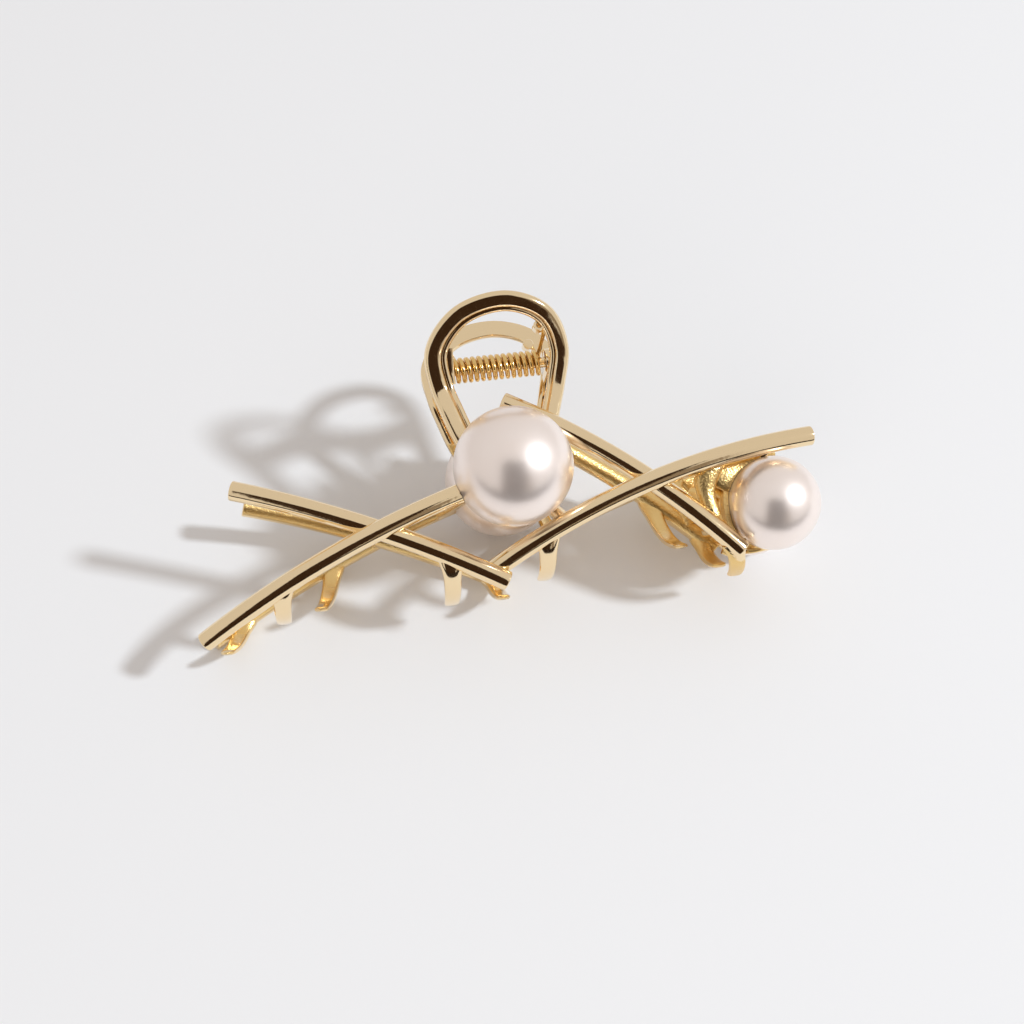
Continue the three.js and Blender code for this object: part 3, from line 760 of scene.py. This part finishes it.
# %% The bead finish and the four beads
def pearl_lacquer():
    lacquer = bpy.data.materials.new("pearl_essence_lacquer_on_moulded_bead")
    lacquer.use_nodes = True
    tree = lacquer.node_tree
    shader = tree.nodes["Principled BSDF"]
    place = add_node(tree, "ShaderNodeTexCoord").outputs["Object"]
    # The dipped coats lie in faint clouds a few millimetres across, between two rosy whites.
    cloud = add_node(tree, "ShaderNodeTexNoise", {"Vector": place, "Scale": 160.0, "Detail": 2.0})
    tone = add_node(tree, "ShaderNodeMix", {0: cloud.outputs["Fac"], 6: srgb("#FBEDE4"),
                    7: srgb("#FFF5EF")}, data_type="RGBA")
    flakes = add_node(tree, "ShaderNodeTexNoise", {"Vector": place, "Scale": 5200.0, "Detail": 1.0})
    relief = add_node(tree, "ShaderNodeBump", {"Height": flakes.outputs["Fac"], "Strength": 0.12,
                      "Distance": 0.00003})
    for name, value in {"Metallic": 0.8, "Roughness": 0.32, "Coat Weight": 0.25,
                        "Coat Roughness": 0.15, "IOR": 1.5}.items():
        shader.inputs[name].default_value = value
    tree.links.new(tone.outputs[2], shader.inputs["Base Color"])
    tree.links.new(relief.outputs["Normal"], shader.inputs["Normal"])
    return lacquer


lacquer = pearl_lacquer()
HOLE_RADIUS, HOLE_DEPTH, BEAD_SIDES = 0.8, 5.0, 96


def bead_profile(radius, steps=72):
    mouth = math.asin(HOLE_RADIUS / radius)
    skin_part = [(radius * math.sin(a), -radius * math.cos(a))
                 for a in np.linspace(mouth, math.pi - 0.0015, steps)]
    floor = -radius + HOLE_DEPTH
    return [(0.02, floor), (HOLE_RADIUS * 0.98, floor)] + skin_part


for side, jaw in JAW.items():
    for kind, pearl in (("main", MAIN_PEARL), ("side", SIDE_PEARL)):
        profile = bead_profile(pearl["radius"])
        bead = spun(f"{jaw}_{kind}_bead", profile, pearl["centre"], "depth", side, BEAD_SIDES)
        finished(bead, lacquer, SHARP_TURNED)
        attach(bead, f"{jaw}_jaw")
        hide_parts(f"{jaw}_{kind}_pearl")
        print(bead.name, triangles(bead), "triangles")

# %% [markdown]
# ## Table, light and camera
# The clip lies on matt white card. One small softbox stands to the right and casts defined shadows
# to the left, and a pale room and a weak front light fill them. Polished metal only looks like
# metal if the room has dark and light in it, so four things are seen only in reflections: a pale
# dome for the walls, a dark flag and a narrow grey one on the camera's side, and a dark floor
# beyond the near edge of the card. They draw the near black streak along every bar.

# %% The card
def card():
    paper = bpy.data.materials.new("matt_white_card")
    paper.use_nodes = True
    tree = paper.node_tree
    shader = tree.nodes["Principled BSDF"]
    place = add_node(tree, "ShaderNodeTexCoord").outputs["Object"]
    fibre = add_node(tree, "ShaderNodeTexNoise", {"Vector": place, "Scale": 900.0, "Detail": 3.0})
    relief = add_node(tree, "ShaderNodeBump", {"Height": fibre.outputs["Fac"], "Strength": 0.05,
                      "Distance": 0.0001})
    shader.inputs["Base Color"].default_value = srgb("#EDEDED")
    shader.inputs["Roughness"].default_value = 0.75
    tree.links.new(relief.outputs["Normal"], shader.inputs["Normal"])
    return paper


bpy.ops.mesh.primitive_circle_add(vertices=96, radius=4.0, fill_type="NGON", location=(0, 0, 0))
table = bpy.context.object
table.name = "white_card"
table.data.materials.append(card())


# %% Lights and flags
def towards(azimuth, elevation, distance):
    a, e = math.radians(azimuth), math.radians(elevation)
    return Vector((math.cos(a) * math.cos(e), math.sin(a) * math.cos(e), math.sin(e))) * distance


def aim(thing, place, target=(0, 0, 0.02)):
    thing.location = place
    thing.rotation_mode = "QUATERNION"
    thing.rotation_quaternion = (Vector(target) - place).to_track_quat("-Z", "Y")


def softbox(name, azimuth, elevation, distance, width, power, colour):
    lamp = bpy.data.lights.new(name, "AREA")
    lamp.shape = "DISK"
    lamp.size, lamp.energy = width, power
    lamp.color = srgb(colour)[:3]
    made = shown(name, lamp)
    aim(made, towards(azimuth, elevation, distance))
    return made


def glowing(name, shade):
    cloth = bpy.data.materials.new(name)
    cloth.use_nodes = True
    tree = cloth.node_tree
    tree.nodes.clear()
    glow = add_node(tree, "ShaderNodeEmission", {"Color": srgb(shade), "Strength": 1.0})
    add_node(tree, "ShaderNodeOutputMaterial", {"Surface": glow.outputs["Emission"]})
    return cloth


def only_reflected(card_or_dome):
    card_or_dome.visible_camera = card_or_dome.visible_diffuse = card_or_dome.visible_shadow = False


def flag(name, azimuth, elevation, distance, width, height, shade):
    """A card seen only in reflections, so it neither blocks light nor shows to the camera."""
    bpy.ops.mesh.primitive_grid_add(x_subdivisions=1, y_subdivisions=1, size=1)
    made = bpy.context.object
    made.name = name
    made.data.transform(Matrix.Diagonal((width, height, 1, 1)))
    aim(made, towards(azimuth, elevation, distance))
    made.data.materials.append(glowing(name, shade))
    only_reflected(made)
    return made


def reflected_room(shade):
    """A dome seen only in reflections: the walls are brighter than the light on the card."""
    bpy.ops.mesh.primitive_uv_sphere_add(segments=32, ring_count=16, radius=3.5)
    made = bpy.context.object
    made.name = "reflected_room"
    made.data.materials.append(glowing("pale_walls", shade))
    only_reflected(made)


# Angles round the clip and above the card in degrees, sizes in metres, power in watts.
softbox("key_softbox", azimuth=-20, elevation=44.5, distance=2.5, width=0.24, power=41.0,
        colour="#EDF6FF")
fill = softbox("front_fill", azimuth=-112, elevation=22, distance=1.6, width=1.2, power=5.0,
               colour="#FFF6F0")
fill.visible_glossy = False
flag("photographer", azimuth=-98, elevation=30, distance=0.75, width=0.60, height=0.95,
     shade="#36261A")
flag("camera_stand", azimuth=-70, elevation=20, distance=0.80, width=0.17, height=0.6,
     shade="#8C8074")
# This last flag is turned flat, a few millimetres above the card.
dark_floor = flag("dark_room_beyond_the_card", azimuth=-104, elevation=0.3, distance=0.62,
                  width=2.4, height=1.0, shade="#2A211C")
dark_floor.rotation_quaternion = (1, 0, 0, 0)
reflected_room("#D8D4D1")

world = bpy.data.worlds.new("pale_room")
bpy.context.scene.world = world
world.use_nodes = True
room = world.node_tree.nodes["Background"]
room.inputs["Color"].default_value = srgb("#FFF8F4")
room.inputs["Strength"].default_value = 0.53

# %% The camera
camera = shown("camera", bpy.data.cameras.new("camera"))
camera.data.sensor_width = 36.0
camera.data.lens = 54.74
camera.data.clip_start = 0.01
right = Vector((0.98794, -0.15126, 0.03304))
back = Vector((-0.11547, -0.57766, 0.80807))
up = back.cross(right).normalized()
FROM_HINGE = Vector((-0.03159, -0.17674, 0.20370))  # metres
camera_at = Vector(HINGE_AT) + FROM_HINGE
camera_turn = Matrix((right, up, back)).transposed().to_4x4()
camera.matrix_world = Matrix.Translation(camera_at) @ camera_turn
bpy.context.scene.camera = camera
bpy.context.scene.view_settings.view_transform = "Standard"
